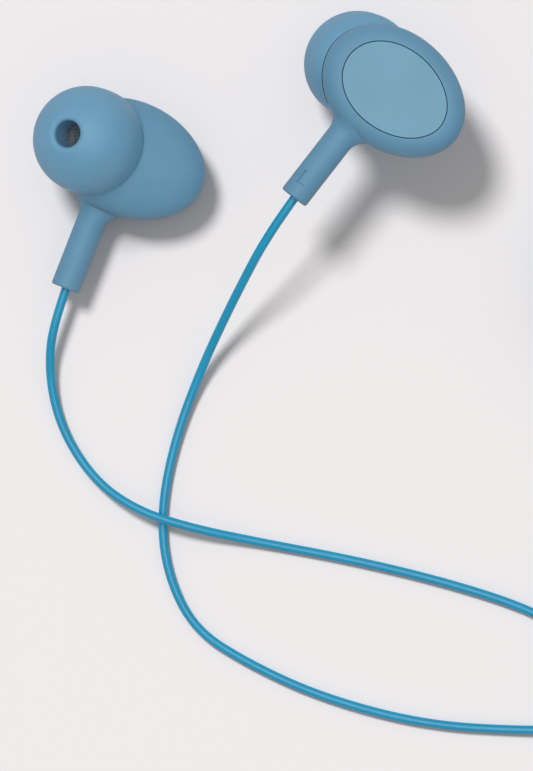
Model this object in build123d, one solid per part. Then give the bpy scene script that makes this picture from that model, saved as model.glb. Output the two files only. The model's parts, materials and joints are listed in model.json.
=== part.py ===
from build123d import *
from math import asin, cos, hypot, pi, radians, sin, sqrt, tan
import os

os.makedirs("parts", exist_ok=True)

# A pair of wired in-ear earphones lying on a flat surface, in millimetres.
# The row's frame has its origin under the middle of the two earphones, +Z up off the surface.
# Each earphone is built in its own frame: x runs along the egg-shaped housing away from the ear
# tip, the stem points along -y, and z rises from the face cover's outside to the ear tip.
# The stem's axis is at x = 0. The right earphone lies on its face cover, and the left one is its
# mirror image and lies on its ear tip.

# ---- driving dimensions: housing ----
HOUSING_HALF = (8.65, 6.53)     # half length and half width of the outline
HOUSING_CENTRE = 1.65
TAPER = 0.05                    # how much narrower the outline is at its far end
OUTLINE_POINTS = 16
WALL = 0.9
CAVITY_RADIUS = 0.6
REAR_FLOOR = 0.05               # the rear shell stands this far behind the cover's face
REAR_EDGE_RADIUS = 2.05
PARTING = 4.7                   # height of the joint between the two shells
DOME_RISE = 3.5
DOME_WALL = 0.8
DOME_LEAN = 4.6                 # how far the dome's top leans towards the nozzle
DOME_ANGLES = (0, 20, 40, 58, 73)   # the dome's sections, from the joint towards its top
LIP_DEPTH = 0.8
LIP_WALL = 0.4
LIP_ROOT = 0.3                  # the lip's root inside the front shell
GAP = 0.04                      # assembly clearance between fixed pieces

# ---- face cover ----
COVER_HALF = (6.38, 4.67)
COVER_CENTRE = 1.67
COVER_THICKNESS = 0.7
COVER_EDGE_RADIUS = 0.06
GROOVE = 0.1                    # visible gap round the cover
GROOVE_EDGE_RADIUS = 0.05
FLANGE_MARGIN = 0.3
FLANGE_THICKNESS = 0.4

# ---- stem ----
STEM_RADIUS = 1.66
STEM_HEIGHT = 3.0               # height of the stem's axis
STEM_END = 16.15                # distance from the housing's long axis to the stem's end
STEM_END_RADIUS = 0.25
FLARE_RADIUS = 2.0              # the blend between stem and housing, from above and from the side
SHAFT_START = 8.9               # where the plain shaft begins
RAMP_REACH = 1.5                # how far the blend climbs towards the cover along the stem
FLARE_STEPS = (8.9, 8.6, 8.2, 7.8, 7.4, 7.0, 6.6, 6.2, 5.8, 5.4)    # the flare's sections
MARK_DEPTH = 0.12
MARK_STROKE = 0.3
MARK_SIZE = (1.08, 1.75)
MARK_FOOT = 14.65               # distance of the letter's foot from the housing's long axis
MARK_OFFSET = -0.3
LETTER_BOWL = 0.49              # outer radius of the R's bowl
LETTER_LEG = (0.35, 0.85)       # inner edge and top of the R's leg

# ---- nozzle and ear tip ----
NOZZLE_TILT = 21.5              # degrees away from the housing's normal
NOZZLE_ROLL = 3.5               # degrees towards the stem
NOZZLE_MIDDLE = (-3.58, 0.18, 8.0)      # centre of the ear tip's widest circle
NOZZLE_RADIUS = 2.1
NOZZLE_NECK = 1.85
NOZZLE_BORE = 1.4
NOZZLE_START = -2.0             # heights along the nozzle, from the ear tip's widest circle
BORE_START = -2.6
NECK_RANGE = (0.2, 1.0)
NOZZLE_END = 2.4
NOZZLE_EDGE_RADIUS = 0.2
MESH_THICKNESS = 0.12
MESH_RADIUS = 1.75
MESH_FIT = 0.02
MESH_SINK = 0.2                 # how far the mesh sits below the nozzle's end
TIP_RADIUS = 6.0
TIP_WALL = 0.6
TIP_STRAIGHT = 1.55             # straight part of the skirt below the widest circle
TIP_TUCK_RADIUS = 3.0           # below that the skirt curves in towards the housing
TIP_SKIRT = 3.7                 # depth of the skirt's rim below the widest circle
TIP_TOP = 5.6
TIP_BORE = 1.5
TIP_LIP_RADIUS = 0.42
TIP_RIM_RADIUS = 0.22
TIP_CORE = 2.8
TIP_CORE_START = 0.45
TIP_FIT = 0.05                  # radial clearance of the tip's core on the nozzle
TIP_CLEARANCE = 0.08            # gap between the skirt and the housing that it drapes over

# ---- driver ----
DRIVER_CENTRE = 1.2
FRAME_RADIUS = 4.2
FRAME_WALL = 0.3
FRAME_FLOOR = (2.6, 3.2)
FRAME_TOP = 4.9
VENT_RADIUS = 0.35
YOKE_RADIUS = 2.6
YOKE_WALL = 0.35
YOKE_FLOOR = (1.9, 2.3)
YOKE_TOP = 3.5
MAGNET_RADIUS = 1.8
MAGNET_TOP = 3.2
POLE_TOP = 3.6
COIL_RADII = (1.92, 2.12)
COIL_HEIGHTS = (2.75, 4.2)
DIAPHRAGM_RADIUS = 3.7
DIAPHRAGM_THICKNESS = 0.08
DIAPHRAGM_DOME = 0.35
GRILLE_RADIUS = 4.15
GRILLE_THICKNESS = 0.2
GRILLE_HOLES = ((1.3, 6), (2.4, 12))    # radius of each circle of holes, and how many it has
GASKET_RADII = (3.3, 4.1)
GASKET_TOP = 5.5
CLOTH_THICKNESS = 0.1
CLOTH_RADII = (2.7, 3.9)
BOARD_SIZE = (2.6, 2.2, 0.4)
BOARD_MIDDLE = 1.7
PAD_PLACE = (0.5, -0.6)
PAD_RADIUS = 0.28
PAD_HEIGHT = 0.12
WIRE_RADIUS = 0.1
WIRE_BEND_RADIUS = 0.4

# ---- cords ----
BRANCH_DIAMETER = 1.0
MAIN_DIAMETER = 1.6
CORD_START = 10.2               # where the cord begins inside the stem, from the long axis
STOP_LENGTH = 1.6
STOP_RADIUS = 0.9
STOP_EYE_RADIUS = 0.35
STOP_END_WALL = 0.3
FIRST_BEND = 19.6               # the cord runs straight on out of the stem as far as this
COIL_LIFT = 0.25                # the ties run under the coils and lift them by this much
ARC_SHARE = 0.45                # share of a run that each tangent arc takes

# ---- places on the surface ----
RIGHT_PLACE = (-14.75, -0.17)
LEFT_PLACE = (14.97, 7.48)
RIGHT_TURN = -21.3
LEFT_TURN = -37.8

# ---- put-away cord, splitter and plug, just right of the earphones ----
BRANCH_COIL = (45.0, -54.15)            # middle of the two branches' coil
BRANCH_COIL_RADII = (3.65, 7.85)
BRANCH_RING = 7.3                       # radius at which a cord joins the coil's outer turn
BRANCH_LAYERS = 2                       # each branch fills two layers, the left one on top
MAIN_COIL = (46.0, -14.15)
MAIN_COIL_RADII = (5.05, 12.55)
MAIN_RING = 11.7
MAIN_LAYERS = 4
LAYER_SLACK = 0.02
TIE_THICKNESS = COIL_LIFT
TIE_ARC = 22
BRANCH_TIE_ANGLE = 115
MAIN_TIE_ANGLE = 200
BRANCH_SPACING = 1.7
CORD_INSET = 1.0                        # how far a cord's end goes into the splitter or plug
SPLITTER_PLACE = (54.2, -43.15)         # middle of the branches' end
SPLITTER_HEIGHT = 1.6
SPLITTER_LENGTH = 12.0
SPLITTER_SECTIONS = (                   # share of the length, width and height
    (0, 4.2, 2.6), (0.15, 4.6, 3.0), (0.55, 3.9, 3.0), (0.9, 3.0, 2.9), (1, 2.7, 2.6))
SPLITTER_ROUNDING = 0.42                # corner radius as a share of the height
PLUG_PLACE = (58.3, -0.15, 2.9)         # the cord's end of the plug, on its axis
RELIEF_LENGTH = 7.5
RELIEF_RADIUS = 1.9
RELIEF_END_RADIUS = 1.2
RELIEF_CORE = 1.15                      # radius at the bottom of the relief's grooves
RELIEF_FIRST_GROOVE = 1.2
RELIEF_PITCH = 1.5
RELIEF_GROOVE = 0.5
GRIP_RADIUS = 2.9
GRIP_EDGE_RADIUS = 0.5
JACK_START = 21.5                       # the grip's front face, from the plug's cord end
JACK_RADIUS = 1.75
JACK_END = 35.5
JACK_STEPS = (29.3, 29.8, 32.0, 32.5)   # ends of the sleeve, first insulator, ring, second one
SHOULDER_RADIUS = 2.5
SHOULDER_END = 21.9
CORE_RADIUS = 1.1
PIN_RADIUS = 0.6
WAIST = (1.4, 33.5)                     # radius and place of the tip contact's waist
NOSE = (1.7, 34.2)                      # where the tip contact is thickest again
NOSE_END_RADIUS = 0.55



def ring(outer, inner, bottom, top):
    """Upright ring, or a disc when the inner radius is zero."""
    height = top - bottom
    body = Cylinder(outer, height, align=(Align.CENTER, Align.CENTER, Align.MIN))
    if inner > 0:
        body -= Cylinder(inner, height, align=(Align.CENTER, Align.CENTER, Align.MIN))
    return Pos(0, 0, bottom) * body


def egg(half, centre, height):
    """Egg-shaped face at a height, a little narrower away from the ear tip."""
    points = []
    for step in range(OUTLINE_POINTS):
        angle = 2 * pi * step / OUTLINE_POINTS
        width = half[1] * (1 - TAPER * cos(angle))
        points.append((centre + half[0] * cos(angle), width * sin(angle), height))
    return make_face(Spline(points, periodic=True))


def egg_block(half, centre, bottom, top):
    return extrude(egg(half, centre, bottom), top - bottom, dir=(0, 0, 1))


def shrink(half, amount):
    return (half[0] - amount, half[1] - amount)


def on_driver(shape):
    return Pos(DRIVER_CENTRE, 0, 0) * shape


def nozzle_frame():
    """Location whose origin is the ear tip's widest circle's centre, with z out of the nozzle."""
    return Pos(*NOZZLE_MIDDLE) * Rot(NOZZLE_ROLL, -NOZZLE_TILT, 0)


# ---------------------------------------------------------------- shells
def outline_gap(x, distance):
    """Shortest way, seen from above, from a point beside the stem to the housing's outline."""
    gaps = []
    for step in range(720):
        angle = 2 * pi * step / 720
        edge_x = HOUSING_CENTRE + HOUSING_HALF[0] * cos(angle)
        edge_y = HOUSING_HALF[1] * (1 - TAPER * cos(angle)) * sin(angle)
        gaps.append(hypot(edge_x - x, edge_y + distance))
    return min(gaps)


def flare_centre(side):
    """Distance of a flare arc's centre from the long axis, so that it touches the outline."""
    near = HOUSING_HALF[1] * 0.8
    far = HOUSING_HALF[1] + 2 * FLARE_RADIUS
    for _ in range(40):
        middle = (near + far) / 2
        if outline_gap(side * (STEM_RADIUS + FLARE_RADIUS), middle) < FLARE_RADIUS:
            near = middle
        else:
            far = middle
    return middle


NOSE_FLARE = flare_centre(-1)
FAR_FLARE = flare_centre(1)


def arc_offset(reach):
    """How far a concave arc has come away from its tangent after that reach."""
    reach = max(0.0, min(0.9 * FLARE_RADIUS, reach))
    return FLARE_RADIUS - sqrt(FLARE_RADIUS ** 2 - reach ** 2)


def ramp_start():
    """Distance at which the stem's top begins to rise so that it meets the rounded rim smoothly."""
    drop = REAR_FLOOR + REAR_EDGE_RADIUS - (STEM_HEIGHT - STEM_RADIUS)
    run = sqrt((REAR_EDGE_RADIUS + FLARE_RADIUS) ** 2 - (drop + FLARE_RADIUS) ** 2)
    return HOUSING_HALF[1] - REAR_EDGE_RADIUS + run


def flare_section(distance):
    """Section of the blend between stem and housing, at a distance from the long axis."""
    nose_side = STEM_RADIUS + arc_offset(NOSE_FLARE - distance)
    far_side = STEM_RADIUS + arc_offset(FAR_FLARE - distance)
    upper = STEM_HEIGHT + STEM_RADIUS
    lower = STEM_HEIGHT - STEM_RADIUS - arc_offset(min(ramp_start() - distance, RAMP_REACH))
    plane = Plane(((far_side - nose_side) / 2, -distance, (upper + lower) / 2),
                  x_dir=(1, 0, 0), z_dir=(0, -1, 0))
    return plane * Ellipse((nose_side + far_side) / 2, (upper - lower) / 2)


def stem_shaft():
    length = STEM_END - SHAFT_START
    shaft = Cylinder(STEM_RADIUS, length, align=(Align.CENTER, Align.CENTER, Align.MIN))
    shaft = fillet(shaft.edges().sort_by(Axis.Z)[-1], STEM_END_RADIUS)
    return Plane((0, -SHAFT_START, STEM_HEIGHT), x_dir=(1, 0, 0), z_dir=(0, -1, 0)) * shaft


def letter(side):
    """Side letter, x to the right and y up, with its foot at y = 0."""
    width, height = MARK_SIZE
    stroke = Pos(MARK_STROKE / 2, height / 2) * Rectangle(MARK_STROKE, height)
    if side == "left":
        return stroke + Pos(width / 2, MARK_STROKE / 2) * Rectangle(width, MARK_STROKE)
    bowl = LETTER_BOWL
    centre = Pos(width - bowl, height - bowl)
    outer = centre * Circle(bowl)
    outer += Pos((width - bowl) / 2, height - bowl) * Rectangle(width - bowl, 2 * bowl)
    hole_width = width - bowl - MARK_STROKE
    hole = centre * Circle(bowl - MARK_STROKE)
    hole += Pos(MARK_STROKE + hole_width / 2, height - bowl) * Rectangle(hole_width, 2 * (bowl - MARK_STROKE))
    leg_x, leg_y = LETTER_LEG
    leg = make_face(Polyline((leg_x, leg_y), (leg_x + MARK_STROKE, leg_y), (width, 0),
                             (width - MARK_STROKE, 0), close=True))
    return stroke + (outer - hole) + leg


def side_mark(side):
    """Shallow letter cut into the stem on the face cover's side."""
    mark = Pos(-MARK_SIZE[0] / 2, 0, 0) * letter(side)
    if side == "right":
        mark = mirror(mark, about=Plane.YZ)
    block = extrude(Pos(MARK_OFFSET, -MARK_FOOT, 0) * mark, STEM_HEIGHT, dir=(0, 0, 1))
    core = Plane((0, 0, STEM_HEIGHT), x_dir=(1, 0, 0), z_dir=(0, -1, 0)) * Cylinder(
        STEM_RADIUS - MARK_DEPTH, 2 * STEM_END)
    return block - core


def rear_shell(side):
    """Shell behind the driver, in one piece with the stem that the cord leaves through."""
    body = egg_block(HOUSING_HALF, HOUSING_CENTRE, REAR_FLOOR, PARTING)
    body = fillet(body.faces().sort_by(Axis.Z)[0].edges(), REAR_EDGE_RADIUS)
    flare = loft([flare_section(distance) for distance in FLARE_STEPS])
    body = body + flare + stem_shaft()
    cavity_floor = REAR_FLOOR + COVER_THICKNESS
    cavity = egg_block(shrink(HOUSING_HALF, WALL), HOUSING_CENTRE, cavity_floor, PARTING)
    cavity = fillet(cavity.faces().sort_by(Axis.Z)[0].edges(), CAVITY_RADIUS)
    body -= cavity
    opening = (COVER_HALF[0] + GROOVE / 2, COVER_HALF[1] + GROOVE / 2)
    body -= egg_block(opening, COVER_CENTRE, 0, cavity_floor)
    rim_edges = body.edges().filter_by_position(Axis.Z, REAR_FLOOR - 0.01, REAR_FLOOR + 0.01)
    body = fillet(rim_edges.sort_by(SortBy.LENGTH)[0], GROOVE_EDGE_RADIUS)
    along_stem = Plane((0, 0, STEM_HEIGHT), x_dir=(1, 0, 0), z_dir=(0, -1, 0))
    stop_seat = CORD_START + GAP
    body -= along_stem * ring(STOP_RADIUS + GAP, 0, HOUSING_HALF[1] - 2 * WALL, stop_seat)
    body -= along_stem * ring(BRANCH_DIAMETER / 2 + GAP, 0, stop_seat, STEM_END)
    return body - side_mark(side)


def dome(half, rise):
    """Leaning cap over the housing's outline, from the parting plane to a small flat top."""
    sections = []
    for angle in DOME_ANGLES:
        share = cos(radians(angle))
        centre = HOUSING_CENTRE - DOME_LEAN * (1 - share)
        height = PARTING + rise * sin(radians(angle))
        sections.append(egg((half[0] * share, half[1] * share), centre, height))
    return loft(sections)


def front_shell():
    """Shell towards the ear, with the nozzle that carries the ear tip and a seat for the driver."""
    outside = dome(HOUSING_HALF, DOME_RISE)
    body = outside - dome(shrink(HOUSING_HALF, WALL), DOME_RISE - DOME_WALL)
    seat = ring(GASKET_RADII[1], GASKET_RADII[0], GASKET_TOP, PARTING + DOME_RISE)
    body += on_driver(seat) & outside
    lip_half = shrink(HOUSING_HALF, WALL + GAP)
    lip = egg_block(lip_half, HOUSING_CENTRE, PARTING - LIP_DEPTH, PARTING)
    lip -= egg_block(shrink(lip_half, LIP_WALL), HOUSING_CENTRE, PARTING - LIP_DEPTH, PARTING)
    join = egg_block(shrink(HOUSING_HALF, WALL / 2), HOUSING_CENTRE, PARTING, PARTING + LIP_ROOT)
    join -= egg_block(shrink(lip_half, LIP_WALL), HOUSING_CENTRE, PARTING, PARTING + LIP_ROOT)
    nozzle = ring(NOZZLE_RADIUS, 0, NOZZLE_START, NOZZLE_END)
    nozzle = fillet(nozzle.edges().sort_by(Axis.Z)[-1], NOZZLE_EDGE_RADIUS)
    nozzle -= ring(TIP_RADIUS, NOZZLE_NECK, *NECK_RANGE)
    body = body + lip + join + nozzle_frame() * nozzle
    body -= nozzle_frame() * ring(NOZZLE_BORE, 0, BORE_START, NOZZLE_END)
    return body - nozzle_frame() * ring(MESH_RADIUS + MESH_FIT, 0, NOZZLE_END - MESH_SINK, NOZZLE_END)


def face_cover():
    """Flat cover plate with a flange that clips in behind the rear shell's opening."""
    half = shrink(COVER_HALF, GROOVE / 2)
    plate = egg_block(half, COVER_CENTRE, 0, COVER_THICKNESS + FLANGE_THICKNESS / 2)
    plate = fillet(plate.faces().sort_by(Axis.Z)[0].edges(), COVER_EDGE_RADIUS)
    bottom = REAR_FLOOR + COVER_THICKNESS
    flange_half = shrink(COVER_HALF, -FLANGE_MARGIN)
    flange = egg_block(flange_half, COVER_CENTRE, bottom, bottom + FLANGE_THICKNESS)
    return plate + flange


# ---------------------------------------------------------------- nozzle and tip
def nozzle_mesh():
    bottom = NOZZLE_END - MESH_SINK
    return nozzle_frame() * ring(MESH_RADIUS, 0, bottom, bottom + MESH_THICKNESS)


def tip_skin(inset):
    """Solid inside the tip's outer skin: a round dome and a skirt that curves in at its rim."""
    dome_radius = TIP_RADIUS - inset
    tuck = TIP_TUCK_RADIUS - inset
    core = TIP_RADIUS - TIP_TUCK_RADIUS
    turn = asin((TIP_SKIRT - TIP_STRAIGHT) / tuck)
    half_turn = turn / 2
    with BuildSketch(Plane.XZ) as section:
        with BuildLine():
            Line((0, -TIP_SKIRT), (0, dome_radius))
            ThreePointArc((0, dome_radius), (dome_radius * sin(pi / 4), dome_radius * cos(pi / 4)),
                          (dome_radius, 0))
            Line((dome_radius, 0), (dome_radius, -TIP_STRAIGHT))
            ThreePointArc(
                (dome_radius, -TIP_STRAIGHT),
                (core + tuck * cos(half_turn), -TIP_STRAIGHT - tuck * sin(half_turn)),
                (core + tuck * cos(turn), -TIP_SKIRT))
            Line((core + tuck * cos(turn), -TIP_SKIRT), (0, -TIP_SKIRT))
        make_face()
    return revolve(section.sketch, Axis.Z)


def ear_tip():
    """Soft mushroom-shaped tip: a round dome and thin skirt round a core that grips the nozzle."""
    below_top = ring(2 * TIP_RADIUS, 0, -TIP_SKIRT, TIP_TOP)
    body = tip_skin(0) & below_top
    core = ring(TIP_CORE, 0, -TIP_SKIRT, TIP_TOP)
    body -= tip_skin(TIP_WALL) - core
    body -= ring(TIP_CORE, 0, -TIP_SKIRT, TIP_CORE_START)
    body -= ring(TIP_BORE, 0, TIP_CORE_START, TIP_TOP)
    body -= ring(NOZZLE_RADIUS + TIP_FIT, 0, TIP_CORE_START, NOZZLE_END + TIP_FIT)
    lip_edges = body.edges().filter_by(GeomType.CIRCLE).group_by(Axis.Z)[-1]
    body = fillet(lip_edges, TIP_LIP_RADIUS)
    skirt_edges = body.edges().filter_by(GeomType.CIRCLE).group_by(Axis.Z)[0]
    body = fillet(skirt_edges, TIP_RIM_RADIUS)
    grown = shrink(HOUSING_HALF, -TIP_CLEARANCE)
    housing = dome(grown, DOME_RISE + TIP_CLEARANCE) + egg_block(grown, HOUSING_CENTRE, 0, PARTING)
    return nozzle_frame() * body - housing


# ---------------------------------------------------------------- driver
def driver_frame():
    """Round plastic basket: a vented floor round the yoke and a wall up to the grille."""
    body = ring(FRAME_RADIUS, YOKE_RADIUS + GAP, *FRAME_FLOOR)
    body += ring(FRAME_RADIUS, FRAME_RADIUS - FRAME_WALL, FRAME_FLOOR[0], FRAME_TOP)
    vent_circle = (FRAME_RADIUS - FRAME_WALL + YOKE_RADIUS) / 2
    for vent in PolarLocations(vent_circle, 6):
        body -= vent * ring(VENT_RADIUS, 0, *FRAME_FLOOR)
    return on_driver(body)


def yoke():
    cup = ring(YOKE_RADIUS, 0, YOKE_FLOOR[0], YOKE_TOP)
    return on_driver(cup - ring(YOKE_RADIUS - YOKE_WALL, 0, YOKE_FLOOR[1], YOKE_TOP))


def magnet():
    return on_driver(ring(MAGNET_RADIUS, 0, YOKE_FLOOR[1], MAGNET_TOP))


def pole_plate():
    return on_driver(ring(MAGNET_RADIUS, 0, MAGNET_TOP, POLE_TOP))


def voice_coil():
    return on_driver(ring(COIL_RADII[1], COIL_RADII[0], *COIL_HEIGHTS))


def diaphragm():
    """Thin film: a flat surround and a shallow dome in the middle."""
    bottom = COIL_HEIGHTS[1]
    film = ring(DIAPHRAGM_RADIUS, COIL_RADII[0], bottom, bottom + DIAPHRAGM_THICKNESS)
    base = COIL_RADII[1]
    radius = (base ** 2 + DIAPHRAGM_DOME ** 2) / (2 * DIAPHRAGM_DOME)
    centre = bottom + DIAPHRAGM_DOME - radius
    above = ring(base, 0, bottom, bottom + 1)
    cap = Pos(0, 0, centre + DIAPHRAGM_THICKNESS) * Sphere(radius)
    cap -= Pos(0, 0, centre) * Sphere(radius)
    return on_driver(film + (cap & above))


def driver_grille():
    """Perforated steel disc over the diaphragm."""
    body = ring(GRILLE_RADIUS, 0, FRAME_TOP, FRAME_TOP + GRILLE_THICKNESS)
    hole = ring(VENT_RADIUS, 0, FRAME_TOP, FRAME_TOP + GRILLE_THICKNESS)
    body -= hole
    for circle, count in GRILLE_HOLES:
        for place in PolarLocations(circle, count):
            body -= place * hole
    return on_driver(body)


def driver_gasket():
    bottom = FRAME_TOP + GRILLE_THICKNESS
    return on_driver(ring(GASKET_RADII[1], GASKET_RADII[0], bottom, GASKET_TOP))


def damping_cloth():
    bottom = FRAME_FLOOR[0] - CLOTH_THICKNESS
    return on_driver(ring(CLOTH_RADII[1], CLOTH_RADII[0], bottom, FRAME_FLOOR[0]))


def terminal_board():
    """Small circuit board on the yoke's back, with two solder pads."""
    board = Pos(0, 0, BOARD_MIDDLE) * Box(*BOARD_SIZE)
    pad_bottom = BOARD_MIDDLE - BOARD_SIZE[2] / 2 - PAD_HEIGHT
    for side in (-1, 1):
        board += Pos(side * PAD_PLACE[0], PAD_PLACE[1], 0) * ring(PAD_RADIUS, 0, pad_bottom, BOARD_MIDDLE)
    return on_driver(board)


def cord_stop():
    """Crimped sleeve on the cord's end, seated in the stem so that a pull can't reach the board."""
    shoulder = CORD_START - STOP_LENGTH
    sleeve = ring(STOP_RADIUS, BRANCH_DIAMETER / 2, shoulder, CORD_START)
    sleeve += ring(STOP_RADIUS, STOP_EYE_RADIUS, shoulder - STOP_END_WALL, shoulder)
    return Plane((0, 0, STEM_HEIGHT), x_dir=(1, 0, 0), z_dir=(0, -1, 0)) * sleeve


def round_tube(points, radii, diameter):
    """Tube of straight runs joined by tangent arcs."""
    path = FilletPolyline(*points, radius=radii)
    start = Plane(path @ 0, z_dir=path % 0)
    return sweep(start * Circle(diameter / 2), path=path)


def lead_wires():
    """The two enamelled wires from the cord's end to the board."""
    wires = []
    for sign in (-1, 1):
        x = DRIVER_CENTRE + PAD_PLACE[0] * sign
        points = [
            (0.16 * sign, STOP_LENGTH - CORD_START, STEM_HEIGHT),
            (0.16 * sign, -5.9, STEM_HEIGHT),
            (x - 0.4, -4.8, BOARD_MIDDLE + 0.15),
            (x, -3.0, BOARD_MIDDLE),
            (x, -BOARD_SIZE[1] / 2, BOARD_MIDDLE),
        ]
        wires.append(round_tube(points, WIRE_BEND_RADIUS, 2 * WIRE_RADIUS))
    return wires[0] + wires[1]


EARPHONE_PIECES = {
    "front_shell": front_shell, "face_cover": face_cover, "nozzle_mesh": nozzle_mesh,
    "ear_tip": ear_tip, "driver_frame": driver_frame, "yoke": yoke, "magnet": magnet,
    "pole_plate": pole_plate, "voice_coil": voice_coil, "diaphragm": diaphragm,
    "driver_grille": driver_grille, "driver_gasket": driver_gasket,
    "damping_cloth": damping_cloth, "terminal_board": terminal_board,
    "cord_stop": cord_stop, "lead_wires": lead_wires,
}

# ---------------------------------------------------------------- cords
def cord_tube(name, points, diameter):
    """A cord's free stretch, each arc as large as its two runs allow; prints what it made."""
    radii = []
    corners = [Vector(*point) for point in points]
    for before, corner, after in zip(corners, corners[1:], corners[2:]):
        turn = (corner - before).get_angle(after - corner)
        shorter = min((corner - before).length, (after - corner).length)
        radii.append(ARC_SHARE * shorter / tan(radians(turn) / 2))
    tube = round_tube(points, radii, diameter)
    length = FilletPolyline(*points, radius=radii).length
    expected = length * pi * diameter ** 2 / 4
    print(name, "length", round(length, 1), "radii", [round(radius, 1) for radius in radii],
          "volume ratio", round(tube.volume / expected, 4))
    return tube


def on_stem(place, turn, distance, height):
    """Point on an earphone's stem axis, in the row's frame."""
    x = place[0] + distance * sin(radians(turn))
    y = place[1] - distance * cos(radians(turn))
    return (x, y, height)


def coil_point(centre, radius, angle, height):
    x = centre[0] + radius * cos(radians(angle))
    y = centre[1] + radius * sin(radians(angle))
    return (x, y, height)


def coil_block(centre, radii, bottom, top):
    """Outer shape of a flat round coil of cord."""
    return Pos(centre[0], centre[1], 0) * ring(radii[1], radii[0], bottom, top)


def coil_tie(centre, radii, bottom, top, middle_angle):
    """Band wrapped round a coil's turns."""
    half_width = (radii[1] - radii[0]) / 2
    middle = (radii[0] + radii[1]) / 2
    outer = Pos(middle, (bottom + top) / 2) * Rectangle(
        2 * (half_width + TIE_THICKNESS), top - bottom + 2 * TIE_THICKNESS)
    inner = Pos(middle, (bottom + top) / 2) * Rectangle(2 * half_width, top - bottom)
    section = Plane.XZ * (outer - inner)
    band = revolve(section, Axis.Z, TIE_ARC)
    return Pos(centre[0], centre[1], 0) * Rot(0, 0, middle_angle - TIE_ARC / 2) * band


def splitter():
    """Overmoulded Y-piece where the two branches join the main cord."""
    sections = []
    ends = Plane(SPLITTER_PLACE + (SPLITTER_HEIGHT,), x_dir=(1, 0, 0), z_dir=(0, 1, 0))
    for share, width, height in SPLITTER_SECTIONS:
        place = ends * Pos(0, 0, share * SPLITTER_LENGTH)
        sections.append(place * RectangleRounded(width, height, height * SPLITTER_ROUNDING))
    body = loft(sections)
    hole = ring(BRANCH_DIAMETER / 2, 0, 0, CORD_INSET)
    for side in (-1, 1):
        body -= ends * Pos(side * BRANCH_SPACING / 2, 0, 0) * hole
    far = SPLITTER_LENGTH - CORD_INSET
    return body - ends * ring(MAIN_DIAMETER / 2, 0, far, SPLITTER_LENGTH)


# ---------------------------------------------------------------- plug
def along_plug(shape):
    """Stand a shape that was built up along z on the plug's axis, from its cord end."""
    return Plane(PLUG_PLACE, x_dir=(1, 0, 0), z_dir=(0, 1, 0)) * shape


def plug_relief():
    """Tapered strain relief on the plug, with grooves that let it bend."""
    cone = Cone(RELIEF_END_RADIUS, RELIEF_RADIUS, RELIEF_LENGTH,
                align=(Align.CENTER, Align.CENTER, Align.MIN))
    cone -= ring(MAIN_DIAMETER / 2, 0, 0, CORD_INSET)
    for step in range(4):
        bottom = RELIEF_FIRST_GROOVE + step * RELIEF_PITCH
        cone -= ring(2 * RELIEF_RADIUS, RELIEF_CORE, bottom, bottom + RELIEF_GROOVE)
    return along_plug(cone)


def plug_grip():
    body = ring(GRIP_RADIUS, 0, RELIEF_LENGTH, JACK_START)
    return along_plug(fillet(body.edges().filter_by(GeomType.CIRCLE), GRIP_EDGE_RADIUS))


def jack_sleeve():
    """Earth contact: the jack's long rear barrel and its shoulder on the grip."""
    body = ring(JACK_RADIUS, CORE_RADIUS, JACK_START, JACK_STEPS[0])
    return along_plug(body + ring(SHOULDER_RADIUS, CORE_RADIUS, JACK_START, SHOULDER_END))


def jack_ring():
    return along_plug(ring(JACK_RADIUS, CORE_RADIUS, JACK_STEPS[1], JACK_STEPS[2]))


def jack_tip():
    """Front contact: a pin through the jack with the waisted, rounded nose."""
    start = JACK_STEPS[3]
    end = JACK_END
    outline = Polyline((0, JACK_START), (PIN_RADIUS, JACK_START), (PIN_RADIUS, start),
                       (JACK_RADIUS, start), WAIST, NOSE, (NOSE_END_RADIUS, end), (0, end),
                       close=True)
    return along_plug(revolve(Plane.XZ * make_face(outline), Axis.Z))


def jack_insulators():
    """Black rings between the contacts, in one piece with the sleeve round the pin."""
    body = ring(CORE_RADIUS, PIN_RADIUS, JACK_START, JACK_STEPS[3])
    body += ring(JACK_RADIUS, PIN_RADIUS, JACK_STEPS[0], JACK_STEPS[1])
    return along_plug(body + ring(JACK_RADIUS, PIN_RADIUS, JACK_STEPS[2], JACK_STEPS[3]))


PLUG_PIECES = (plug_relief, plug_grip, jack_sleeve, jack_ring, jack_tip, jack_insulators)

# ---------------------------------------------------------------- put the earphones down
NODES = {}
LEFT_HEIGHT = ear_tip().bounding_box().max.Z


def place_right(shape):
    return Pos(RIGHT_PLACE[0], RIGHT_PLACE[1], 0) * Rot(0, 0, RIGHT_TURN) * shape


def place_left(shape):
    turned = Rot(0, 0, LEFT_TURN) * mirror(shape, about=Plane.XY)
    return Pos(LEFT_PLACE[0], LEFT_PLACE[1], LEFT_HEIGHT) * turned


for name, make in EARPHONE_PIECES.items():
    shape = make()
    NODES["right_" + name] = place_right(shape)
    NODES["left_" + name] = place_left(shape)
NODES["right_rear_shell"] = place_right(rear_shell("right"))
NODES["left_rear_shell"] = place_left(rear_shell("left"))


# ---------------------------------------------------------------- lay the cords
LEFT_STEM_HEIGHT = LEFT_HEIGHT - STEM_HEIGHT
BRANCH_FLOOR = BRANCH_DIAMETER / 2
MAIN_FLOOR = MAIN_DIAMETER / 2
BRANCH_LAYER = BRANCH_DIAMETER + LAYER_SLACK
MAIN_LAYER = MAIN_DIAMETER + LAYER_SLACK


def branch_layer(number):
    """Height of a layer of the branches' coil, counted from 0."""
    return COIL_LIFT + BRANCH_FLOOR + number * BRANCH_LAYER


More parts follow.
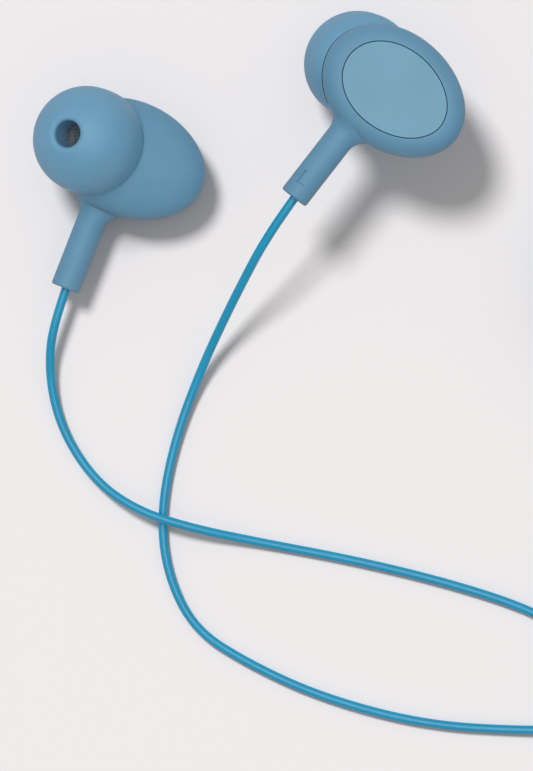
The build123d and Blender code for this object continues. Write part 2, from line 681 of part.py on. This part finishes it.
RIGHT_ROUTE = [
    on_stem(RIGHT_PLACE, RIGHT_TURN, CORD_START, STEM_HEIGHT),
    on_stem(RIGHT_PLACE, RIGHT_TURN, FIRST_BEND, STEM_HEIGHT),
    (-22.6, -24.6, 1.1), (-21.2, -31.0, 0.5), (-17.5, -36.8, 0.5), (-12.7, -40.2, 4.5),
    (-6.6, -42.2, 4.5), (1.4, -43.9, 0.5), (12.0, -45.9, 0.5), (22.0, -48.3, 0.5),
    (31.2, -51.2, 0.5), (36.8, -54.3, 0.5),
    coil_point(BRANCH_COIL, BRANCH_RING, 215, branch_layer(0)),
]
LEFT_ROUTE = [
    on_stem(LEFT_PLACE, LEFT_TURN, CORD_START, LEFT_STEM_HEIGHT),
    on_stem(LEFT_PLACE, LEFT_TURN, FIRST_BEND, LEFT_STEM_HEIGHT),
    (-1.6, -16.4, 5.4), (-5.4, -24.4, 1.1), (-8.4, -32.6, 0.5), (-9.9, -40.6, 0.5),
    (-9.2, -47.4, 0.5), (-6.2, -53.6, 0.5), (-0.4, -57.4, 0.5), (8.2, -61.4, 0.5),
    (19.8, -64.5, 0.5), (31.4, -65.2, 0.5), (38.6, -64.9, 1.0), (44.2, -63.3, 2.7),
    coil_point(BRANCH_COIL, BRANCH_RING, 302, branch_layer(2)),
]
RIGHT_END_ROUTE = [
    coil_point(BRANCH_COIL, BRANCH_RING, 352, branch_layer(1)), (52.4, -50.6, 1.6), (53.3, -46.6, 1.5),
    (SPLITTER_PLACE[0] - BRANCH_SPACING / 2, SPLITTER_PLACE[1] + CORD_INSET, SPLITTER_HEIGHT),
]
LEFT_END_ROUTE = [
    coil_point(BRANCH_COIL, BRANCH_RING, 337, branch_layer(3)), (53.6, -51.4, 3.2), (55.1, -47.0, 1.7),
    (SPLITTER_PLACE[0] + BRANCH_SPACING / 2, SPLITTER_PLACE[1] + CORD_INSET, SPLITTER_HEIGHT),
]
MAIN_ROUTE = [
    (SPLITTER_PLACE[0], SPLITTER_PLACE[1] + SPLITTER_LENGTH - CORD_INSET, SPLITTER_HEIGHT),
    (54.2, -27.6, 1.4), (54.9, -22.9, 1.05),
    coil_point(MAIN_COIL, MAIN_RING, 337, COIL_LIFT + MAIN_FLOOR),
]
MAIN_END_ROUTE = [
    coil_point(MAIN_COIL, MAIN_RING, 355, COIL_LIFT + MAIN_FLOOR + 3 * MAIN_LAYER),
    (58.0, -9.6, 5.0), (58.3, -4.6, 3.1),
    (PLUG_PLACE[0], PLUG_PLACE[1] + CORD_INSET, PLUG_PLACE[2]),
]
TUBES = {
    "right_cord": (RIGHT_ROUTE, BRANCH_DIAMETER), "left_cord": (LEFT_ROUTE, BRANCH_DIAMETER),
    "right_cord_end": (RIGHT_END_ROUTE, BRANCH_DIAMETER),
    "left_cord_end": (LEFT_END_ROUTE, BRANCH_DIAMETER),
    "main_cord": (MAIN_ROUTE, MAIN_DIAMETER), "main_cord_end": (MAIN_END_ROUTE, MAIN_DIAMETER),
}
for name, (points, diameter) in TUBES.items():
    NODES[name] = cord_tube(name, points, diameter)

half_coil = BRANCH_LAYERS * BRANCH_LAYER
branch_top = COIL_LIFT + 2 * half_coil
main_top = COIL_LIFT + MAIN_LAYERS * MAIN_LAYER
branch_middle = COIL_LIFT + half_coil
NODES["right_cord_coil"] = coil_block(BRANCH_COIL, BRANCH_COIL_RADII, COIL_LIFT, branch_middle)
NODES["left_cord_coil"] = coil_block(BRANCH_COIL, BRANCH_COIL_RADII, branch_middle, branch_top)
NODES["main_cord_coil"] = coil_block(MAIN_COIL, MAIN_COIL_RADII, COIL_LIFT, main_top)
NODES["branch_coil_tie"] = coil_tie(BRANCH_COIL, BRANCH_COIL_RADII, COIL_LIFT, branch_top, BRANCH_TIE_ANGLE)
NODES["main_coil_tie"] = coil_tie(MAIN_COIL, MAIN_COIL_RADII, COIL_LIFT, main_top, MAIN_TIE_ANGLE)
NODES["splitter"] = splitter()
for make in PLUG_PIECES:
    NODES[make.__name__] = make()

for name, shape in NODES.items():
    export_step(shape, f"parts/{name}.step")
    print(name, "volume", round(shape.volume, 3), "valid", shape.is_valid)
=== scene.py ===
import json
import math

import bpy
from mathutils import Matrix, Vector

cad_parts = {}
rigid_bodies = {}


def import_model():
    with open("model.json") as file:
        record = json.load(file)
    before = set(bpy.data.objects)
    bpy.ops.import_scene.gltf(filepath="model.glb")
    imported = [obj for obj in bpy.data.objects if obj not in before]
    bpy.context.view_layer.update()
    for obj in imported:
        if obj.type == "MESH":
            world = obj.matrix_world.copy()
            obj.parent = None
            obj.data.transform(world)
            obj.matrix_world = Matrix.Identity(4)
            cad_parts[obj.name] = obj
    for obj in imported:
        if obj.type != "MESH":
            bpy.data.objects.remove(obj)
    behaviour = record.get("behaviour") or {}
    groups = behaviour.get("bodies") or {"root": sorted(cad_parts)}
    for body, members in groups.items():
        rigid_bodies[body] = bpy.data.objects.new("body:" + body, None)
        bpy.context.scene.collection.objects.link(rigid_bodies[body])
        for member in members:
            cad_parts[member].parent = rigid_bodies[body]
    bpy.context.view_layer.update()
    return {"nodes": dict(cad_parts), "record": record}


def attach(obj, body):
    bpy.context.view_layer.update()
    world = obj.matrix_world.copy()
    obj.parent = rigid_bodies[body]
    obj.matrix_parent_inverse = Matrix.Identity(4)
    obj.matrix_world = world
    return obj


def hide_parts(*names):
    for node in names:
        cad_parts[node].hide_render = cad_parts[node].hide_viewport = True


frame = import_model()
MM = 0.001

# ---- sizes and places, in millimetres, as in the CAD model ----
BRANCH_DIAMETER = 1.0
MAIN_DIAMETER = 1.6
STEM_HEIGHT = 3.0
LEFT_STEM_HEIGHT = 11.0
CORD_START = 10.2
FIRST_BEND = 19.6
RIGHT_PLACE = (-14.75, -0.17)
LEFT_PLACE = (14.97, 7.48)
RIGHT_TURN = -21.3
LEFT_TURN = -37.8
COIL_LIFT = 0.25
BRANCH_COIL = (45.0, -54.15)
MAIN_COIL = (46.0, -14.15)
BRANCH_LAYER = 1.02
MAIN_LAYER = 1.62
TURN_POINTS = 16

BRANCH_RADII = (4.15, 7.34)     # inner and outer radius of the coil's turns
MAIN_RADII = (5.85, 11.7)
RIGHT_COIL_START = 215          # degrees
LEFT_COIL_START = 302
MAIN_COIL_START = 337
RIGHT_TURNS = 6 + 137 / 360
LEFT_TURNS = 6 + 35 / 360
MAIN_TURNS = 14 + 18 / 360
LAYER_CLIMB = 0.25              # share of a turn in which the cord climbs to the next layer

CAMERA_PLACE = (2.06, -26.15, 600.0)
CAMERA_LENS = 247.6
CAMERA_SENSOR = 36.0

# ---- floor and light ----
FLOOR_HALF = 1.5                # metres
FLOOR_HEIGHT = -0.00003
FLOOR_COLOUR = (0.855, 0.832, 0.841)
SKY_COLOUR = (1.0, 0.965, 0.935)
SKY_STRENGTH = 0.39


def on_stem(place, turn, distance, height):
    """Point on an earphone's stem axis."""
    angle = math.radians(turn)
    return (place[0] + distance * math.sin(angle), place[1] - distance * math.cos(angle), height)


def in_metres(point):
    return tuple(value * MM for value in point)


# ---------------------------------------------------------------- materials
def new_material(name):
    material = bpy.data.materials.new(name)
    material.use_nodes = True
    tree = material.node_tree
    return material, tree, tree.nodes["Principled BSDF"]


def noise(tree, scale, detail=4.0, roughness=0.55):
    coordinates = tree.nodes.new("ShaderNodeTexCoord")
    texture = tree.nodes.new("ShaderNodeTexNoise")
    texture.inputs["Scale"].default_value = scale
    texture.inputs["Detail"].default_value = detail
    texture.inputs["Roughness"].default_value = roughness
    tree.links.new(coordinates.outputs["Object"], texture.inputs["Vector"])
    return texture.outputs["Fac"]


def remap(tree, value, low, high):
    node = tree.nodes.new("ShaderNodeMapRange")
    node.inputs["From Min"].default_value = 0.3
    node.inputs["From Max"].default_value = 0.7
    node.inputs["To Min"].default_value = low
    node.inputs["To Max"].default_value = high
    tree.links.new(value, node.inputs["Value"])
    return node.outputs["Result"]


def mixed_colour(tree, value, first, second):
    node = tree.nodes.new("ShaderNodeMix")
    node.data_type = "RGBA"
    node.inputs["A"].default_value = (*first, 1)
    node.inputs["B"].default_value = (*second, 1)
    tree.links.new(value, node.inputs["Factor"])
    return node.outputs["Result"]


def layered_colour(tree, value, under, over):
    """Fixed colour over a colour made by other nodes, where the value is 1."""
    node = tree.nodes.new("ShaderNodeMix")
    node.data_type = "RGBA"
    node.inputs["B"].default_value = (*over, 1)
    tree.links.new(under, node.inputs["A"])
    tree.links.new(value, node.inputs["Factor"])
    return node.outputs["Result"]


def add_bump(tree, shader, height, distance, strength=1.0):
    node = tree.nodes.new("ShaderNodeBump")
    node.inputs["Distance"].default_value = distance
    node.inputs["Strength"].default_value = strength
    tree.links.new(height, node.inputs["Height"])
    tree.links.new(node.outputs["Normal"], shader.inputs["Normal"])


def scaled(colour, factor):
    return tuple(value * factor for value in colour)


def edge_mask(tree, radius):
    """1 along sharp edges, 0 on flat and gently curved faces, broken up by a noise; used to lighten
    edges as painted highlight and partly wear.
    """
    bevel = tree.nodes.new("ShaderNodeBevel")
    bevel.samples = 6
    bevel.inputs["Radius"].default_value = radius
    geometry = tree.nodes.new("ShaderNodeNewGeometry")
    product = tree.nodes.new("ShaderNodeVectorMath")
    product.operation = "DOT_PRODUCT"
    tree.links.new(bevel.outputs["Normal"], product.inputs[0])
    tree.links.new(geometry.outputs["Normal"], product.inputs[1])
    mask = tree.nodes.new("ShaderNodeMapRange")
    mask.inputs["From Min"].default_value = 0.80
    mask.inputs["From Max"].default_value = 0.99
    mask.inputs["To Min"].default_value = 1.0
    mask.inputs["To Max"].default_value = 0.0
    tree.links.new(product.outputs["Value"], mask.inputs["Value"])
    return multiplied(tree, mask.outputs["Result"], remap(tree, noise(tree, 900.0), 0.5, 1.0))


def multiplied(tree, first, second):
    node = tree.nodes.new("ShaderNodeMath")
    node.operation = "MULTIPLY"
    tree.links.new(first, node.inputs[0])
    tree.links.new(second, node.inputs[1])
    return node.outputs["Value"]


def crevice_mask(tree, reach):
    """1 inside engraved marks and narrow grooves, 0 on open faces, from ambient occlusion; marks where
    painted shade goes.
    """
    occlusion = tree.nodes.new("ShaderNodeAmbientOcclusion")
    occlusion.samples = 8
    occlusion.only_local = True
    occlusion.inputs["Distance"].default_value = reach
    mask = tree.nodes.new("ShaderNodeMapRange")
    mask.inputs["From Min"].default_value = 0.55
    mask.inputs["From Max"].default_value = 0.95
    mask.inputs["To Min"].default_value = 1.0
    mask.inputs["To Max"].default_value = 0.0
    tree.links.new(occlusion.outputs["AO"], mask.inputs["Value"])
    return mask.outputs["Result"]


def soft_touch(name, colour, roughness=(0.56, 0.68), sheen=0.03, edge_highlight_and_wear=1.3):
    """Matt soft-touch paint or silicone: slow colour drift, a fine grain, edges lightened as
    painted highlight and partly wear, and engraved lines and grooves darkened as painted shade."""
    material, tree, shader = new_material(name)
    drift = remap(tree, noise(tree, 220.0, 3.0), 0.0, 1.0)
    tint = mixed_colour(tree, drift, scaled(colour, 0.94), colour)
    # Edges lightened: painted highlight along rims and edges, partly wear.
    wear_and_edge_highlight = layered_colour(tree, edge_mask(tree, 0.00025), tint, scaled(colour, edge_highlight_and_wear))
    # Painted shade: engraved marks and narrow grooves darkened where ambient occlusion finds them.
    with_painted_groove_shade = layered_colour(tree, crevice_mask(tree, 0.0003), wear_and_edge_highlight, scaled(colour, 0.78))
    tree.links.new(with_painted_groove_shade, shader.inputs["Base Color"])
    grain = noise(tree, 9000.0, 3.0, 0.6)
    tree.links.new(remap(tree, grain, *roughness), shader.inputs["Roughness"])
    add_bump(tree, shader, grain, 0.00002, 0.35)
    shader.inputs["Sheen Weight"].default_value = sheen
    shader.inputs["Sheen Roughness"].default_value = 0.4
    shader.inputs["Specular IOR Level"].default_value = 0.5
    return material


def cord_jacket(name, colour):
    """Smooth satin elastomer with faint extrusion ripples."""
    material, tree, shader = new_material(name)
    drift = remap(tree, noise(tree, 150.0, 3.0), 0.0, 1.0)
    tree.links.new(mixed_colour(tree, drift, scaled(colour, 0.9), colour), shader.inputs["Base Color"])
    grain = noise(tree, 2500.0, 3.0)
    tree.links.new(remap(tree, grain, 0.34, 0.44), shader.inputs["Roughness"])
    shader.inputs["Specular IOR Level"].default_value = 0.55
    add_bump(tree, shader, grain, 0.00001, 0.4)
    return material


def plain_metal(name, colour, roughness=(0.18, 0.32)):
    material, tree, shader = new_material(name)
    drift = remap(tree, noise(tree, 400.0), 0.0, 1.0)
    tint = mixed_colour(tree, drift, scaled(colour, 0.88), colour)
    # Edges lightened: painted highlight, partly wear.
    wear_and_edge_highlight = layered_colour(tree, edge_mask(tree, 0.00015), tint, scaled(colour, 1.15))
    tree.links.new(wear_and_edge_highlight, shader.inputs["Base Color"])
    shader.inputs["Metallic"].default_value = 1.0
    grain = noise(tree, 6000.0, 3.0)
    tree.links.new(remap(tree, grain, *roughness), shader.inputs["Roughness"])
    add_bump(tree, shader, grain, 0.00001, 0.3)
    return material


def moulded(name, colour, roughness=(0.4, 0.55)):
    material, tree, shader = new_material(name)
    drift = remap(tree, noise(tree, 300.0), 0.0, 1.0)
    tint = mixed_colour(tree, drift, scaled(colour, 0.85), colour)
    # Edges lightened: painted highlight, partly wear.
    wear_and_edge_highlight = layered_colour(tree, edge_mask(tree, 0.0002), tint, scaled(colour, 1.5))
    tree.links.new(wear_and_edge_highlight, shader.inputs["Base Color"])
    grain = noise(tree, 7000.0, 3.0)
    tree.links.new(remap(tree, grain, *roughness), shader.inputs["Roughness"])
    add_bump(tree, shader, grain, 0.00002, 0.3)
    return material


def perforated(name, colour):
    """Fine perforated sheet: a pattern of small dark holes in plain metal."""
    material, tree, shader = new_material(name)
    coordinates = tree.nodes.new("ShaderNodeTexCoord")
    cells = tree.nodes.new("ShaderNodeTexVoronoi")
    cells.inputs["Scale"].default_value = 2600.0
    cells.inputs["Randomness"].default_value = 0.2
    tree.links.new(coordinates.outputs["Object"], cells.inputs["Vector"])
    holes = tree.nodes.new("ShaderNodeMapRange")
    holes.inputs["From Min"].default_value = 0.28
    holes.inputs["From Max"].default_value = 0.36
    tree.links.new(cells.outputs["Distance"], holes.inputs["Value"])
    tree.links.new(mixed_colour(tree, holes.outputs["Result"], scaled(colour, 0.35), colour),
                   shader.inputs["Base Color"])
    tree.links.new(remap(tree, noise(tree, 5000.0), 0.4, 0.6), shader.inputs["Roughness"])
    add_bump(tree, shader, holes.outputs["Result"], 0.00003, 0.6)
    return material


MATERIALS = {
    "soft_touch_shell": soft_touch("soft_touch_shell", (0.106, 0.270, 0.415)),
    "soft_touch_cover": soft_touch("soft_touch_cover", (0.148, 0.330, 0.462)),
    # Strongest edge lightening: painted highlight on the ear tip's skirt rim, partly wear.
    "silicone": soft_touch("silicone", (0.128, 0.322, 0.490), (0.52, 0.62), 0.0, 1.5),
    "cord": cord_jacket("cord", (0.0, 0.292, 0.505)),
    "moulded_rubber": soft_touch("moulded_rubber", (0.100, 0.250, 0.390)),
    "tie": moulded("tie", (0.06, 0.12, 0.18)),
    "black_plastic": moulded("black_plastic", (0.02, 0.02, 0.024)),
    "plated_steel": plain_metal("plated_steel", (0.72, 0.72, 0.73)),
    # Mesh colour darkened far below bare steel: painted shade of the deep bore around it.
    "steel_mesh": perforated("steel_mesh", (0.070, 0.088, 0.108)),
    "copper": plain_metal("copper", (0.78, 0.42, 0.25)),
    "film": moulded("film", (0.72, 0.68, 0.55), (0.2, 0.3)),
    "foam": moulded("foam", (0.03, 0.03, 0.03), (0.8, 0.95)),
    "damping_fabric": moulded("damping_fabric", (0.08, 0.08, 0.09), (0.8, 0.95)),
    "board": moulded("board", (0.02, 0.16, 0.07), (0.25, 0.35)),
    "crimp": plain_metal("crimp", (0.75, 0.76, 0.78), (0.25, 0.4)),
    "plated_contact": plain_metal("plated_contact", (0.80, 0.79, 0.76), (0.12, 0.22)),
}
SLOTS = {part["node"]: part["material_slot"] for part in frame["record"]["subparts"]}


def finish_node(obj, material):
    obj.data.materials.clear()
    obj.data.materials.append(material)


for node_name, node in frame["nodes"].items():
    finish_node(node, MATERIALS[SLOTS[node_name]])


# ---------------------------------------------------------------- camera
def make_camera():
    data = bpy.data.cameras.new("camera")
    data.lens = CAMERA_LENS
    data.sensor_width = CAMERA_SENSOR
    data.clip_start = 0.05
    data.clip_end = 5.0
    camera = bpy.data.objects.new("camera", data)
    camera.location = in_metres(CAMERA_PLACE)
    bpy.context.scene.collection.objects.link(camera)
    bpy.context.scene.camera = camera


make_camera()


# ---------------------------------------------------------------- cords
def coil_point(centre, radius, angle, height):
    turn = math.radians(angle)
    return (centre[0] + radius * math.cos(turn), centre[1] + radius * math.sin(turn), height)


def winding(centre, radii, start, turns, layers, first_height, step):
    """Turns of a neat coil: inwards on the first layer, outwards on the next, and so on."""
    steps = round(turns * TURN_POINTS)
    per_layer = turns / layers
    bulge = 1 / math.cos(math.pi / TURN_POINTS)
    points = []
    for index in range(steps + 1):
        done = turns * index / steps
        layer = min(int(done / per_layer), layers - 1)
        share = done / per_layer - layer
        inward = share if layer % 2 == 0 else 1 - share
        radius = (radii[1] - (radii[1] - radii[0]) * inward) * bulge
        climb = min(1.0, share * per_layer / LAYER_CLIMB) if layer > 0 else 1.0
        height = first_height + step * (layer - 1 + climb if layer > 0 else 0)
        points.append(coil_point(centre, radius, start + 360 * done, height))
    return points


def make_cord(name, points, diameter, material):
    curve = bpy.data.curves.new(name, "CURVE")
    curve.dimensions = "3D"
    curve.resolution_u = 12
    curve.bevel_depth = diameter * MM / 2
    curve.bevel_resolution = 8
    curve.use_fill_caps = True
    spline = curve.splines.new("NURBS")
    spline.points.add(len(points) - 1)
    for place, point in zip(spline.points, points):
        place.co = (*in_metres(point), 1)
    spline.order_u = 3
    spline.use_endpoint_u = True
    obj = bpy.data.objects.new(name, curve)
    obj.data.materials.append(material)
    bpy.context.scene.collection.objects.link(obj)
    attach(obj, "earphones")
    return obj


def branch_height(layer):
    return COIL_LIFT + BRANCH_DIAMETER / 2 + layer * BRANCH_LAYER


RIGHT_ROUTE = [
    on_stem(RIGHT_PLACE, RIGHT_TURN, CORD_START, STEM_HEIGHT),
    on_stem(RIGHT_PLACE, RIGHT_TURN, FIRST_BEND, STEM_HEIGHT),
    (-22.6, -24.6, 1.1), (-21.2, -31.0, 0.5), (-17.5, -36.8, 0.5), (-12.7, -40.2, 1.9),
    (-6.6, -42.2, 1.9), (1.4, -43.9, 0.5), (12.0, -45.9, 0.5), (22.0, -48.3, 0.5),
    (31.2, -51.2, 0.5), (36.8, -54.3, 0.5),
]
RIGHT_ROUTE += winding(BRANCH_COIL, BRANCH_RADII, RIGHT_COIL_START, RIGHT_TURNS, 2,
                       branch_height(0), BRANCH_LAYER)
RIGHT_ROUTE += [(52.4, -50.6, 1.6), (53.3, -46.6, 1.6), (53.35, -42.15, 1.6)]

LEFT_ROUTE = [
    on_stem(LEFT_PLACE, LEFT_TURN, CORD_START, LEFT_STEM_HEIGHT),
    on_stem(LEFT_PLACE, LEFT_TURN, FIRST_BEND, LEFT_STEM_HEIGHT),
    (-1.6, -16.4, 5.4), (-5.4, -24.4, 1.1), (-8.4, -32.6, 0.5), (-9.9, -40.6, 0.5),
    (-9.2, -47.4, 0.5), (-6.2, -53.6, 0.5), (-0.4, -57.4, 0.5), (8.2, -61.4, 0.5),
    (19.8, -64.5, 0.5), (31.4, -65.2, 0.5), (38.6, -64.9, 1.0), (44.2, -63.3, 2.7),
]
LEFT_ROUTE += winding(BRANCH_COIL, BRANCH_RADII, LEFT_COIL_START, LEFT_TURNS, 2,
                      branch_height(2), BRANCH_LAYER)
LEFT_ROUTE += [(53.6, -51.4, 3.2), (55.1, -47.0, 1.7), (55.05, -42.15, 1.6)]

MAIN_ROUTE = [(54.2, -32.15, 1.6), (54.2, -27.6, 1.4), (54.9, -22.9, 1.05)]
MAIN_ROUTE += winding(MAIN_COIL, MAIN_RADII, MAIN_COIL_START, MAIN_TURNS, 4,
                      COIL_LIFT + MAIN_DIAMETER / 2, MAIN_LAYER)
MAIN_ROUTE += [(58.0, -9.6, 5.0), (58.3, -4.6, 3.1), (58.3, 0.85, 2.9)]

CORD_MATERIAL = MATERIALS["cord"]
right_line = make_cord("right_cord_line", RIGHT_ROUTE, BRANCH_DIAMETER, CORD_MATERIAL)
left_line = make_cord("left_cord_line", LEFT_ROUTE, BRANCH_DIAMETER, CORD_MATERIAL)
main_line = make_cord("main_cord_line", MAIN_ROUTE, MAIN_DIAMETER, CORD_MATERIAL)
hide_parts("right_cord", "right_cord_coil", "right_cord_end")
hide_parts("left_cord", "left_cord_coil", "left_cord_end")
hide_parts("main_cord", "main_cord_coil", "main_cord_end")


# ---------------------------------------------------------------- floor and lights
def make_floor():
    mesh = bpy.data.meshes.new("floor")
    half = FLOOR_HALF
    corners = [(-half, -half, 0), (half, -half, 0), (half, half, 0), (-half, half, 0)]
    mesh.from_pydata(corners, [], [(0, 1, 2, 3)])
    floor = bpy.data.objects.new("floor", mesh)
    floor.location = (0, 0, FLOOR_HEIGHT)
    material, tree, shader = new_material("floor")
    shader.inputs["Base Color"].default_value = (*FLOOR_COLOUR, 1)
    shader.inputs["Roughness"].default_value = 0.95
    shader.inputs["Specular IOR Level"].default_value = 0.0
    mesh.materials.append(material)
    bpy.context.scene.collection.objects.link(floor)
    return floor


def sun(name, tilt, azimuth, strength, angle, lights):
    """Even light from a direction, on the objects of one collection only."""
    data = bpy.data.lights.new(name, "SUN")
    data.energy = strength
    data.angle = math.radians(angle)
    light = bpy.data.objects.new(name, data)
    direction = Vector((
        math.sin(math.radians(tilt)) * math.cos(math.radians(azimuth)),
        math.sin(math.radians(tilt)) * math.sin(math.radians(azimuth)),
        math.cos(math.radians(tilt))))
    light.rotation_euler = direction.to_track_quat("Z", "Y").to_euler()
    light.location = direction
    bpy.context.scene.collection.objects.link(light)
    light.light_linking.receiver_collection = lights


def make_world():
    world = bpy.data.worlds.new("studio")
    world.use_nodes = True
    background = world.node_tree.nodes["Background"]
    background.inputs["Color"].default_value = (*SKY_COLOUR, 1)
    background.inputs["Strength"].default_value = SKY_STRENGTH
    bpy.context.scene.world = world


floor = make_floor()
floor_only = bpy.data.collections.new("lit_floor")
floor_only.objects.link(floor)
model_only = bpy.data.collections.new("lit_model")
for obj in bpy.context.scene.objects:
    if obj.type in ("MESH", "CURVE") and obj != floor:
        model_only.objects.link(obj)
make_world()
sun("shadow_key", 33, 124, 2.36, 15, floor_only)
sun("front_key", 10, 105, 2.15, 50, model_only)
bpy.context.scene.view_settings.view_transform = "Standard"
